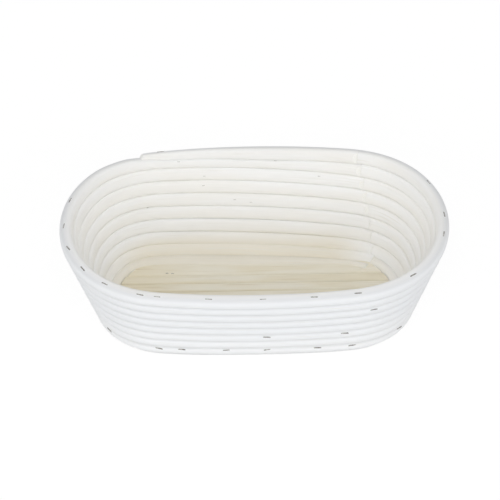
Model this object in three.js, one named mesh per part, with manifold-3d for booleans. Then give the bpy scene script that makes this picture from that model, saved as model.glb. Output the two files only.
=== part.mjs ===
// Oval proofing basket coiled from bleached cane: eight lengths of cane wind down from the rim, a ninth
// makes the foot, straight canes fill the floor, and wire staples hold each cane to the next.
// Millimetres, +Z up, long side along X, front along -Y, origin on the floor under the middle.
import * as THREE from "three";
import { mergeVertices } from "three/addons/utils/BufferGeometryUtils.js";
import Module from "manifold-3d";

const radians = THREE.MathUtils.degToRad;
const { clamp, lerp } = THREE.MathUtils;

// Outline of the rim, over the cane
const RIM_LENGTH = 250;
const RIM_WIDTH = 153;
const SIDE_BOW = 3.3; // how far a long side bows out between the round ends
const SIDE_STRAIGHTENING = 1.6; // how much less it does at the foot
const STRAIGHTENED_SHARE = 1.35; // reach of that, in distances from the middle to the centre of an end
const BACK_TUCK = 2.9; // how much further in the foot lies along the back
const CORNER_FULLNESS = 1.15; // how much further out than its arc the rim lies between a side and an end
const FOOT_CORNER_GAIN = 0.7; // share of that which is added again at the foot

// Coil of the wall
const CANE_DIAMETER = 8.45;
const COURSE_GAP = 0.45; // between neighbouring canes
const COIL_COURSES = 9; // the rim is the first, the foot the last
const WALL_FLARE = radians(19); // lean of the wall outwards
const FOOT_COURSES = 1; // lowest steps between courses, which curl in under the wall
const FOOT_CURL = radians(24); // lean that each of those steps adds
const FOOT_FLAT = 0.85; // depth of the flat that the basket stands on
const CLIMB_LENGTH = 172; // stretch of the back wall in which each course drops by one

// Seam, where each length of cane ends against the next; bearings run clockwise from the middle of the back
const SEAM_BEARING = radians(14.5);
const SEAM_DRIFT = radians(2.7); // further round with each course down
const SEAM_GAP = 0.5;

// Tapered end of the coil, which lies on the rim along the back
const TAIL_LENGTH = 141;
const TAIL_FULL_LENGTH = 60; // stretch next to the seam that keeps the whole cane
const TAIL_SEAT_DEPTH = 2.7; // shaved off the cane below it
const TAIL_RUN_IN = 15; // stretch at the tip in which that seat begins
const TAIL_RUN_OUT = 8; // stretch past the tip in which it ends
const TAIL_TIP_WIDTH = 5.2;
const TAIL_TIP_RISE = 1.2; // the tip stands this much over the rim

// Thinned end of the foot cane, which lies inside the course that comes down to the floor
const FOOT_DRIFT = 6; // inwards
const FOOT_DRIFT_SHARE = 0.5; // share of the climb in which it moves in
const FOOT_TIP_WIDTH = 5.3;

// Straight canes of the floor
const BASE_CANES = 9;
const BASE_CANE_GAP = 0.42;
const BASE_CANE_HEIGHT = 7;

// Wire staples
const STAPLE_CROWN = 5.8;
const STAPLE_WIRE = 1;
const STAPLE_LENGTH = 12.9;
const BASE_STAPLE_LENGTH = 10.5;
const STAPLE_CLEARANCE = 0.3;
const STAPLE_HEADROOM = 3; // how far a pocket is open above the crown
const SEAT_ELEVATION = radians(22); // where on the outer face of a cane a slanted staple sits
const BASE_STAPLE_OFFSET = 45; // from the middle of a floor cane

// Staple places: round an end, degrees from its middle towards the front; along the front, the share of the
// way from its middle to the curve of the right end, or with a minus of the left end
const RIM_STAPLES = {
  leftAngles: [-19.6, 0.9, 18.6, 36.3, 52.5, 72.6, 81.5],
  frontShares: [-0.49, 0.07, 0.6],
  rightAngles: [79.9, 48.2, 12.2, -3.3, -30.1],
};
const FOOT_STAPLES = {
  leftAngles: [38.2, 78.1],
  frontShares: [-0.82, -0.33, 0.12, 0.67],
  rightAngles: [79.3, 42],
};
const WALL_STAPLES = [
  { course: 2, leftAngles: [], frontShares: [], rightAngles: [70.5] },
  { course: 5, leftAngles: [], frontShares: [0.11, 0.95], rightAngles: [] },
];
const TAIL_STAPLE_SETBACK = 14; // from the tip of the tail

// Facets
const CANE_SIDES = 8;
const SIDE_STEPS = 4; // along each long side
const END_STEPS = 12; // round each end
const BASE_CANE_SIDES = 10;
const GAP_SAMPLES = 6; // rings between two stations when the gap of a cane to itself is measured

// Finishes
const CANE_COLOUR = 0xf0eee8;
const BASE_CANE_COLOUR = 0xe2d9c3;
const STAPLE_COLOUR = 0x77736c;
const CANE_ROUGHNESS = 0.8;
const STAPLE_ROUGHNESS = 0.45;
const STAPLE_METALNESS = 0.8;

// Worked out from the sizes above
const caneRadius = CANE_DIAMETER / 2;
const pitch = CANE_DIAMETER + COURSE_GAP;
const endRadius = RIM_WIDTH / 2 - SIDE_BOW - caneRadius; // of the rim's centre line
const endCentre = RIM_LENGTH / 2 - endRadius - caneRadius;
const sideCentre = (endCentre ** 2 - SIDE_BOW ** 2) / (2 * SIDE_BOW);
const sideExtra = sideCentre + SIDE_BOW; // a side's radius over an end's
const sideAngle = Math.asin(endCentre / sideExtra); // half the angle of a side's arc
const steps = COIL_COURSES - 1;
const stepLeans = Array.from({ length: steps }, (_, step) => {
  const curled = Math.max(0, step + 1 - (steps - FOOT_COURSES));
  return WALL_FLARE + curled * FOOT_CURL;
});
const footLevel = steps;
const footAxisHeight = caneRadius - FOOT_FLAT;

const wasm = await Module();
wasm.setup();

function solidOf(geometry) {
  const bare = new THREE.BufferGeometry();
  bare.setAttribute("position", geometry.getAttribute("position"));
  bare.setIndex(geometry.index);
  const merged = mergeVertices(bare, 1e-4);
  const vertProperties = new Float32Array(merged.getAttribute("position").array);
  const triVerts = new Uint32Array(merged.index.array);
  return new wasm.Manifold(new wasm.Mesh({ numProp: 3, vertProperties, triVerts }));
}

function geometryOf(solid) {
  const mesh = solid.getMesh();
  const geometry = new THREE.BufferGeometry();
  geometry.setAttribute("position", new THREE.BufferAttribute(mesh.vertProperties, 3));
  geometry.setIndex(new THREE.BufferAttribute(mesh.triVerts, 1));
  geometry.computeVertexNormals();
  return geometry;
}

// Plan: four tangent arcs, so that each course is a parallel of the rim's line, but with straighter sides
// and, low down, a back that is tucked in
function outward(bearing) {
  return new THREE.Vector3(Math.sin(bearing), Math.cos(bearing), 0);
}

function clockwise(bearing) {
  return new THREE.Vector3(Math.cos(bearing), -Math.sin(bearing), 0);
}

function planPoint(bearing, inset) {
  const direction = outward(bearing);
  const onSide = Math.abs(direction.y) >= Math.cos(sideAngle);
  const centre = onSide
    ? new THREE.Vector3(0, -Math.sign(direction.y) * sideCentre, 0)
    : new THREE.Vector3(Math.sign(direction.x) * endCentre, 0, 0);
  const share = inset / insetAt(footLevel);
  const corner = CORNER_FULLNESS * (1 + FOOT_CORNER_GAIN * share) * Math.sin(2 * bearing) ** 2;
  const radius = endRadius - inset + corner + (onSide ? sideExtra : 0);
  const point = centre.addScaledVector(direction, radius);
  const fromMiddle = clamp(point.x / (STRAIGHTENED_SHARE * endCentre), -1, 1);
  const straightening = SIDE_STRAIGHTENING * share * (1 - fromMiddle ** 2) ** 2;
  const tuck = BACK_TUCK * clamp(share, 0, 1) ** 4 * ((1 + direction.y) / 2) ** 2;
  point.y -= Math.sign(point.y) * straightening + tuck;
  return point;
}

function quarterLength(angle, inset) {
  const side = Math.min(angle, sideAngle) * (endRadius - inset + sideExtra);
  const end = Math.max(0, angle - sideAngle) * (endRadius - inset);
  return side + end;
}

// Length of the rim's line from the middle of the back, clockwise
function rimDistance(bearing) {
  const halfTurns = Math.round(bearing / Math.PI);
  const rest = bearing - halfTurns * Math.PI;
  const full = 2 * quarterLength(Math.PI / 2, 0);
  return halfTurns * full + Math.sign(rest) * quarterLength(Math.abs(rest), 0);
}

function stapleBearings({ leftAngles, frontShares, rightAngles }) {
  return [
    ...leftAngles.map((angle) => radians(270 - angle)),
    ...frontShares.map((share) => Math.PI - share * sideAngle),
    ...rightAngles.map((angle) => radians(90 + angle)),
  ];
}

// Profile of the wall by level: 0 is the rim, each course down adds 1
function alongProfile(level, share) {
  if (level <= 0) return level * pitch * share(stepLeans[0]);
  const covered = stepLeans.map((lean, step) => clamp(level - step, 0, 1) * pitch * share(lean));
  return covered.reduce((sum, length) => sum + length, 0);
}

function insetAt(level) {
  return alongProfile(level, Math.sin);
}

function dropAt(level) {
  return alongProfile(level, Math.cos);
}

const rimHeight = footAxisHeight + dropAt(footLevel);

function heightAt(level) {
  return rimHeight - dropAt(level);
}

function leanAt(level) {
  const above = stepLeans[clamp(Math.ceil(level) - 1, 0, steps - 1)];
  const below = stepLeans[clamp(Math.floor(level), 0, steps - 1)];
  return (above + below) / 2;
}

// Climb of the coil along the back, from 0 where a course is level to 1 at the seam
const climbEnd = rimDistance(2 * Math.PI + SEAM_BEARING);

function toSeam(bearing) {
  return climbEnd - rimDistance(bearing);
}

function climbAt(bearing) {
  return clamp(1 - toSeam(bearing) / CLIMB_LENGTH, 0, 1);
}

function seamBearing(course) {
  return SEAM_BEARING + course * SEAM_DRIFT;
}

// Stations round the coil, shared by all courses so that their facets lie side by side
function gridBearings() {
  const bearings = [];
  for (let halfTurn = 0; halfTurn < 4; halfTurn++) {
    const start = halfTurn * Math.PI - sideAngle;
    for (let step = 0; step < SIDE_STEPS; step++) {
      bearings.push(start + (2 * sideAngle * step) / SIDE_STEPS);
    }
    for (let step = 0; step < END_STEPS; step++) {
      bearings.push(start + 2 * sideAngle + ((Math.PI - 2 * sideAngle) * step) / END_STEPS);
    }
  }
  return bearings;
}

function stationBearings(first, last) {
  const apart = sideAngle / SIDE_STEPS;
  const between = gridBearings().filter((bearing) => bearing > first + apart && bearing < last - apart);
  return [first, ...between, last];
}

function courseBearings(first, last, inset) {
  const half = SEAM_GAP / 2 / (endRadius - inset);
  return stationBearings(first + half, last - half);
}

// Sections of the canes: centre, directions and half sizes
function sectionAt(bearing, inset, height, lean, halfWidth, halfUp, halfDown) {
  const centre = planPoint(bearing, inset).setZ(height);
  const out = outward(bearing).multiplyScalar(Math.cos(lean)).setZ(-Math.sin(lean));
  const up = outward(bearing).multiplyScalar(Math.sin(lean)).setZ(Math.cos(lean));
  return { centre, out, up, halfWidth, halfUp, halfDown };
}

function levelSection(bearing, level, halfWidth, halfUp, halfDown) {
  return sectionAt(bearing, insetAt(level), heightAt(level), leanAt(level), halfWidth, halfUp, halfDown);
}

function tailSeatDepth(bearing) {
  const distance = toSeam(bearing);
  const fromSeam = clamp(distance / TAIL_FULL_LENGTH, 0, 1);
  const fromTip = clamp((TAIL_LENGTH + TAIL_RUN_OUT - distance) / (TAIL_RUN_IN + TAIL_RUN_OUT), 0, 1);
  return TAIL_SEAT_DEPTH * Math.min(fromSeam, fromTip);
}

function courseSection(course, bearing) {
  const shaved = course === 0 ? tailSeatDepth(bearing) : 0;
  return levelSection(bearing, course + climbAt(bearing), caneRadius, caneRadius - shaved, caneRadius);
}

function tailSection(bearing) {
  const taper = clamp((toSeam(bearing) - TAIL_FULL_LENGTH) / (TAIL_LENGTH - TAIL_FULL_LENGTH), 0, 1);
  const top = caneRadius + TAIL_TIP_RISE * taper;
  const seat = caneRadius - tailSeatDepth(bearing) - climbAt(bearing) * pitch;
  const bottom = seat + COURSE_GAP;
  const halfHeight = (top - bottom) / 2;
  const level = -(top + bottom) / 2 / pitch;
  const halfWidth = lerp(caneRadius, TAIL_TIP_WIDTH / 2, taper);
  return levelSection(bearing, level, halfWidth, halfHeight, halfHeight);
}

function footWidth(bearing) {
  return lerp(CANE_DIAMETER, FOOT_TIP_WIDTH, climbAt(bearing));
}

function footInnerInset(bearing) {
  const drift = FOOT_DRIFT * clamp(climbAt(bearing) / FOOT_DRIFT_SHARE, 0, 1);
  return insetAt(footLevel) + caneRadius + drift;
}

function footSection(bearing) {
  const halfWidth = footWidth(bearing) / 2;
  const inset = footInnerInset(bearing) - halfWidth;
  return sectionAt(bearing, inset, footAxisHeight, 0, halfWidth, caneRadius, caneRadius);
}

function ringOf(section) {
  return Array.from({ length: CANE_SIDES }, (_, side) => {
    const angle = (2 * Math.PI * side) / CANE_SIDES;
    const rise = Math.sin(angle);
    return section.centre
      .clone()
      .addScaledVector(section.out, Math.cos(angle) * section.halfWidth)
      .addScaledVector(section.up, rise * (rise > 0 ? section.halfUp : section.halfDown));
  });
}

// One unbroken tube through its sections, closed at both ends
function caneGeometry(sections) {
  const points = sections.flatMap(ringOf);
  const last = sections.length - 1;
  const indices = [];
  const corner = (station, side) => station * CANE_SIDES + (side % CANE_SIDES);
  for (let station = 0; station < last; station++) {
    for (let side = 0; side < CANE_SIDES; side++) {
      indices.push(corner(station, side), corner(station, side + 1), corner(station + 1, side));
      indices.push(corner(station + 1, side), corner(station, side + 1), corner(station + 1, side + 1));
    }
  }
  for (let side = 1; side < CANE_SIDES - 1; side++) {
    indices.push(corner(0, 0), corner(0, side + 1), corner(0, side));
    indices.push(corner(last, 0), corner(last, side), corner(last, side + 1));
  }
  return new THREE.BufferGeometry().setFromPoints(points).setIndex(indices);
}

// Least distance between the first and the last stretch of one cane, where its turn comes round
function leastGapToItself(sections) {
  const rings = sections.map(ringOf);
  const third = Math.floor(rings.length / 3);
  const fine = (part) =>
    part.slice(1).flatMap((ring, index) =>
      Array.from({ length: GAP_SAMPLES }, (_, sample) =>
        ring.map((point, side) => part[index][side].clone().lerp(point, sample / (GAP_SAMPLES - 1))),
      ).flat(),
    );
  const start = fine(rings.slice(0, third));
  const end = fine(rings.slice(-third));
  return Math.min(...start.map((point) => Math.min(...end.map((other) => point.distanceTo(other)))));
}

const solids = new Map();

function addCane(name, sections) {
  solids.set(name, solidOf(caneGeometry(sections)));
  console.log(name, "least gap to itself", leastGapToItself(sections).toFixed(2), "mm");
}

function courseName(course) {
  if (course === 0) return "rim_cane";
  return course === footLevel ? "foot_cane" : `wall_cane_${course}`;
}

// Wall, from the rim down
for (let course = 0; course < footLevel; course++) {
  const end = 2 * Math.PI + seamBearing(course + 1);
  const bearings = courseBearings(seamBearing(course), end, insetAt(course));
  addCane(courseName(course), bearings.map((bearing) => courseSection(course, bearing)));
}

// Tapered end of the coil on the rim
function bearingToSeam(distance) {
  const sideEnd = quarterLength(sideAngle, 0);
  const fromBack = distance - quarterLength(SEAM_BEARING, 0);
  const angle =
    fromBack <= sideEnd
      ? fromBack / (endRadius + sideExtra)
      : sideAngle + (fromBack - sideEnd) / endRadius;
  return 2 * Math.PI - angle;
}

const tailBearings = courseBearings(bearingToSeam(TAIL_LENGTH), 2 * Math.PI + SEAM_BEARING, 0);
solids.set("rim_tail", solidOf(caneGeometry(tailBearings.map(tailSection))));

// Foot, thinned where the coil comes round on the floor
const footStart = seamBearing(footLevel);
const footBearings = courseBearings(footStart, 2 * Math.PI + footStart, insetAt(footLevel));
addCane(courseName(footLevel), footBearings.map(footSection));

// Flat underneath
const roomAbove = new THREE.BoxGeometry(2 * RIM_LENGTH, 2 * RIM_WIDTH, 2 * rimHeight);
const aboveFloor = solidOf(roomAbove.translate(0, 0, rimHeight));
for (const course of [footLevel - 1, footLevel]) {
  solids.set(courseName(course), solids.get(courseName(course)).intersect(aboveFloor));
}

// Floor: straight canes cut to the inside of the foot
function floorOutline() {
  const inset = (bearing) => footInnerInset(bearing) + BASE_CANE_GAP;
  const past = (2 * BASE_CANE_GAP) / (endRadius - insetAt(footLevel));
  const last = footBearings.at(-1);
  const points = [...footBearings.slice(1), last + past].map((bearing) => planPoint(bearing, inset(bearing)));
  return new THREE.Shape(points.map((point) => new THREE.Vector2(point.x, point.y)));
}

const floorFront = planPoint(Math.PI, footInnerInset(Math.PI) + BASE_CANE_GAP).y;
const floorBack = planPoint(0, footInnerInset(2 * Math.PI) + BASE_CANE_GAP).y;
const baseCanePitch = (floorBack - floorFront) / BASE_CANES;
const baseCaneHalfWidth = (baseCanePitch - BASE_CANE_GAP) / 2;
const baseCaneHalfHeight = (BASE_CANE_HEIGHT + FOOT_FLAT) / 2;
const baseCaneAxisHeight = BASE_CANE_HEIGHT - baseCaneHalfHeight;

function baseCaneY(index) {
  return floorFront + (index - 0.5) * baseCanePitch;
}

function baseCaneGeometry(index) {
  const flatAngle = Math.asin(baseCaneAxisHeight / baseCaneHalfHeight);
  const section = new THREE.Shape();
  section.absellipse(
    baseCaneY(index),
    baseCaneAxisHeight,
    baseCaneHalfWidth,
    baseCaneHalfHeight,
    -flatAngle,
    Math.PI + flatAngle,
  );
  const geometry = new THREE.ExtrudeGeometry(section, {
    depth: RIM_LENGTH,
    steps: 1,
    bevelEnabled: false,
    curveSegments: BASE_CANE_SIDES,
  });
  const alongX = new THREE.Matrix4().makeBasis(
    new THREE.Vector3(0, 1, 0),
    new THREE.Vector3(0, 0, 1),
    new THREE.Vector3(1, 0, 0),
  );
  return geometry.applyMatrix4(alongX).translate(-RIM_LENGTH / 2, 0, 0);
}

const roomInFoot = new THREE.ExtrudeGeometry(floorOutline(), { depth: 2 * rimHeight, bevelEnabled: false });
const floorPrism = solidOf(roomInFoot.translate(0, 0, -rimHeight));
for (let index = 1; index <= BASE_CANES; index++) {
  solids.set(`base_cane_${index}`, solidOf(baseCaneGeometry(index)).intersect(floorPrism));
}

// Staples: a wire U whose crown lies flush along the cane, in a pocket that leaves it its clearance
const staples = new Map();

function stapleGeometry(length, grow, headroom) {
  const outer = STAPLE_CROWN / 2 + grow;
  const inner = STAPLE_CROWN / 2 - STAPLE_WIRE - grow;
  const under = -STAPLE_WIRE - grow;
  const tip = -length - grow;
  const outline = new THREE.Shape();
  outline.moveTo(-outer, tip);
  outline.lineTo(-inner, tip);
  outline.lineTo(-inner, under);
  outline.lineTo(inner, under);
  outline.lineTo(inner, tip);
  outline.lineTo(outer, tip);
  outline.lineTo(outer, headroom);
  outline.lineTo(-outer, headroom);
  outline.closePath();
  const depth = STAPLE_WIRE + 2 * grow;
  return new THREE.ExtrudeGeometry(outline, { depth, bevelEnabled: false }).translate(0, 0, -depth / 2);
}

// seat is the middle of the crown's top, along runs along the crown and away points out of the cane
function addStaple(name, seat, along, away, length, hosts) {
  const place = new THREE.Matrix4()
    .makeBasis(along, away, along.clone().cross(away))
    .setPosition(seat);
  const pocket = solidOf(stapleGeometry(length, STAPLE_CLEARANCE, STAPLE_HEADROOM).applyMatrix4(place));
  for (const host of hosts) {
    solids.set(host, solids.get(host).subtract(pocket));
  }
  staples.set(name, { geometry: stapleGeometry(length, 0, 0), place });
}

stapleBearings(RIM_STAPLES).forEach((bearing, index) => {
  const { centre, up, halfUp } = courseSection(0, bearing);
  const seat = centre.clone().addScaledVector(up, halfUp);
  const hosts = [courseName(0), courseName(1)];
  addStaple(`rim_staple_${index + 1}`, seat, clockwise(bearing), up, STAPLE_LENGTH, hosts);
});

const tailStapleBearing = bearingToSeam(TAIL_LENGTH - TAIL_STAPLE_SETBACK);
const tailHost = tailSection(tailStapleBearing);
addStaple(
  "tail_staple",
  tailHost.centre.clone().addScaledVector(tailHost.up, tailHost.halfUp),
  clockwise(tailStapleBearing),
  tailHost.up,
  STAPLE_LENGTH,
  ["rim_tail", courseName(0), courseName(1)],
);

// Through the outer face of a course and into the one below it
function addSlantedStaple(name, course, bearing) {
  const upper = courseSection(course, bearing).centre;
  const lowerSection = course + 1 === footLevel ? footSection(bearing) : courseSection(course + 1, bearing);
  const toSeat = outward(bearing).multiplyScalar(Math.cos(SEAT_ELEVATION)).setZ(Math.sin(SEAT_ELEVATION));
  const seat = upper.clone().addScaledVector(toSeat, caneRadius);
  const away = seat.clone().sub(lowerSection.centre).normalize();
  const hosts = [courseName(course), courseName(course + 1)];
  addStaple(name, seat, clockwise(bearing), away, STAPLE_LENGTH, hosts);
}

stapleBearings(FOOT_STAPLES).forEach((bearing, index) => {
  addSlantedStaple(`foot_staple_${index + 1}`, footLevel - 1, bearing);
});
WALL_STAPLES.flatMap((places) => stapleBearings(places).map((bearing) => [places.course, bearing])).forEach(
  ([course, bearing], index) => addSlantedStaple(`wall_staple_${index + 1}`, course, bearing),
);

// Floor canes, stapled through their sides from the middle outwards, at the left and right in turn
const middleCane = Math.ceil(BASE_CANES / 2);
for (let joint = 1; joint < BASE_CANES; joint++) {
  const toBack = joint < middleCane ? -1 : 1; // the way the staple is driven
  const host = joint < middleCane ? joint + 1 : joint;
  const x = joint % 2 ? -BASE_STAPLE_OFFSET : BASE_STAPLE_OFFSET;
  const seat = new THREE.Vector3(x, baseCaneY(host) - toBack * baseCaneHalfWidth, baseCaneAxisHeight);
  const along = new THREE.Vector3(1, 0, 0);
  const away = new THREE.Vector3(0, -toBack, 0);
  const hosts = [`base_cane_${joint}`, `base_cane_${joint + 1}`];
  addStaple(`base_staple_${joint}`, seat, along, away, BASE_STAPLE_LENGTH, hosts);
}

// The two middle canes of the floor, stapled through the foot at both ends
[-1, 1].forEach((end) => {
  [middleCane, middleCane + 1].forEach((index) => {
    const bearing = (end * Math.PI) / 2;
    const axis = planPoint(bearing, insetAt(footLevel));
    const seat = new THREE.Vector3(axis.x + end * caneRadius, baseCaneY(index), baseCaneAxisHeight);
    const side = end < 0 ? "left" : "right";
    const away = new THREE.Vector3(end, 0, 0);
    const along = new THREE.Vector3(0, 1, 0);
    const hosts = ["foot_cane", `base_cane_${index}`];
    addStaple(`${side}_end_staple_${index}`, seat, along, away, STAPLE_LENGTH, hosts);
  });
});

// The basket
const basket = new THREE.Group();

for (const [name, solid] of solids) {
  const color = name.startsWith("base_cane") ? BASE_CANE_COLOUR : CANE_COLOUR;
  const material = new THREE.MeshStandardMaterial({ color, roughness: CANE_ROUGHNESS, metalness: 0 });
  const cane = new THREE.Mesh(geometryOf(solid), material);
  cane.name = name;
  basket.add(cane);
}

for (const [name, { geometry, place }] of staples) {
  const material = new THREE.MeshStandardMaterial({
    color: STAPLE_COLOUR,
    roughness: STAPLE_ROUGHNESS,
    metalness: STAPLE_METALNESS,
  });
  const staple = new THREE.Mesh(geometry, material);
  staple.name = name;
  staple.applyMatrix4(place);
  basket.add(staple);
}

export default basket;
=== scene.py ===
"""Oval proofing basket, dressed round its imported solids.

The wall is coiled from bleached cane, straight canes fill the floor, and wire staples hold each cane to
the next. Sizes are in millimetres until a mesh is finished. Bearings run clockwise from the middle of the
back, seen from above: the right end is at a quarter turn, the front at a half turn.
"""

import logging
from collections.abc import Callable
from dataclasses import dataclass, replace
from enum import Enum
from functools import cache, partial
from math import asin, atan2, copysign, cos, pi, radians, sin

import bmesh
import bpy
from bmesh.types import BMEdge, BMesh, BMFace, BMLayerItem, BMVert
from bpy.types import Material, Node, NodeSocket, NodeTree, Object, World
from mathutils import Matrix, Vector, noise


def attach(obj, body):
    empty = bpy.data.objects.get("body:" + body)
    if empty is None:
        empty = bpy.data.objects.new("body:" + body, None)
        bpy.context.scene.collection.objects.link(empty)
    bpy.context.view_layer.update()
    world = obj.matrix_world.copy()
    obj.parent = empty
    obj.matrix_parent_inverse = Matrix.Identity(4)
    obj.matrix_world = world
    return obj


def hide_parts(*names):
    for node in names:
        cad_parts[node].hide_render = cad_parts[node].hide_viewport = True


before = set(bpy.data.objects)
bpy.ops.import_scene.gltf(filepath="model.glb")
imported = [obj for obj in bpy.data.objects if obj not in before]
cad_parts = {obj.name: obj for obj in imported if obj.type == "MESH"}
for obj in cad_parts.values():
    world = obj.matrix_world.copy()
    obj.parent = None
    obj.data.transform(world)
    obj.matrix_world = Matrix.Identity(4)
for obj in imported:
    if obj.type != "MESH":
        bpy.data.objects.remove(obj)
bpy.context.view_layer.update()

LOG = logging.getLogger("proofing_basket")
BODY = "root"
MM = 0.001
TURN = 2 * pi
RIGHT = Vector((1, 0, 0))
BACK = Vector((0, 1, 0))
UP = Vector((0, 0, 1))
SHARP_ANGLE = radians(40)
MERGE_DISTANCE = 1e-4
CANE_SPACE = "cane_space"

# Sockets of a colour Mix node
MIX_FACTOR = 0
MIX_FIRST = 6
MIX_SECOND = 7
MIX_COLOUR = 2

# Values of a node's inputs, or the sockets that feed them
Inputs = dict[int | str, object]

# A colour and the largest share that it takes
Coat = tuple[str, float]
NO_COAT: Coat = ("#FFFFFF", 0.0)

# A pattern, with the values at which a coat begins and is full
Ramp = tuple[NodeSocket, float, float]

# A coat and the patterns that thin it out
Layer = tuple[Coat, tuple[Ramp, ...]]

# First and last distance of a cane's lengthwise line, by the angle of that line round the cane
Ends = Callable[[float], tuple[float, float]]


class Slot(Enum):
    """Material slots of the part's record."""

    WALL_CANE = "wall_cane"
    FLOOR_CANE = "floor_cane"
    STAPLE_WIRE = "staple_wire"


def clamp(value: float, low: float = 0.0, high: float = 1.0) -> float:
    """Keeps a value between two limits."""
    return min(max(value, low), high)


def lerp(start: float, end: float, share: float) -> float:
    """Goes a share of the way from start to end."""
    return start + (end - start) * share


def linear(colour: str) -> tuple[float, float, float, float]:
    """Turns an sRGB hex colour into linear RGBA.

    Args:
        colour: Colour such as "#F0EFEB".

    Returns:
        Linear red, green, blue and an alpha of one.
    """
    parts = [int(colour[place : place + 2], 16) / 255 for place in (1, 3, 5)]
    red, green, blue = (part / 12.92 if part <= 0.04045 else ((part + 0.055) / 1.055) ** 2.4 for part in parts)
    return red, green, blue, 1.0


def add_node(tree: NodeTree, kind: str, inputs: Inputs, **settings: object) -> Node:
    """Adds a node with its settings and links.

    Args:
        tree: Node tree that takes the node.
        kind: Blender's name of the node, without its first part.
        inputs: For each input, a value or the output socket that feeds it.
        settings: Properties of the node.

    Returns:
        The new node.
    """
    node = tree.nodes.new(f"ShaderNode{kind}")
    for name, value in settings.items():
        setattr(node, name, value)
    for key, value in inputs.items():
        if isinstance(value, NodeSocket):
            tree.links.new(value, node.inputs[key])
        else:
            node.inputs[key].default_value = value
    return node


def empty_tree(owner: Material | World) -> NodeTree:
    """Gives a material or a world an empty node tree.

    Args:
        owner: The material or world.

    Returns:
        The tree.
    """
    owner.use_nodes = True
    owner.node_tree.nodes.clear()
    return owner.node_tree


@dataclass(frozen=True)
class Finish:
    """Finish of a piece, with coats over a ground."""

    name: str

    def material(self) -> Material:
        """Builds the material.

        Returns:
            The finished material.
        """
        material = bpy.data.materials.new(self.name)
        tree = empty_tree(material)
        shader = add_node(tree, "BsdfPrincipled", self.surface(tree))
        add_node(tree, "OutputMaterial", {"Surface": shader.outputs["BSDF"]})
        return material

    def surface(self, tree: NodeTree) -> Inputs:
        """Draws the surface and gives the inputs of its shader."""
        raise NotImplementedError

    def colours(self, tree: NodeTree, ground: str, layers: list[Layer]) -> tuple[NodeSocket, NodeSocket]:
        """Lays coats over a ground.

        Args:
            tree: Node tree of the material.
            ground: Colour of the ground.
            layers: The coats, the lowest first.

        Returns:
            The sockets with the colour and with the share of the top coat.
        """
        colour: object = linear(ground)
        for (tint, share), ramps in layers:
            for value, begins, full in ramps:
                ramp = {"Value": value, "From Min": begins, "From Max": full, "To Min": 0.0, "To Max": share}
                share = add_node(tree, "MapRange", ramp, interpolation_type="SMOOTHSTEP").outputs["Result"]
            mix = {MIX_FACTOR: share, MIX_FIRST: colour, MIX_SECOND: linear(tint)}
            colour = add_node(tree, "Mix", mix, data_type="RGBA").outputs[MIX_COLOUR]
        return colour, share


@dataclass(frozen=True)
class Marks:
    """Marks of one kind along a cane, drawn with a noise.

    Attributes:
        width: Width of a mark across the cane.
        length: Length of a mark along the cane.
        octaves: Octaves of finer marks.
        begins: Value of the noise at which a mark begins.
        full: Value at which it is full.
        raggedness: Strength of the finer marks.
    """

    width: float
    length: float
    octaves: float
    begins: float
    full: float
    raggedness: float = 0.55


# A fibre of the core is about 0.3 wide, which is too fine to show, so it is drawn coarser
FIBRES = Marks(width=0.5, length=30.0, octaves=3.0, begins=0.52, full=0.78)
STREAKS = Marks(width=0.7, length=45.0, octaves=1.0, begins=0.66, full=0.78)
TONES = Marks(width=7.0, length=70.0, octaves=2.0, begins=0.38, full=0.66)


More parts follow.
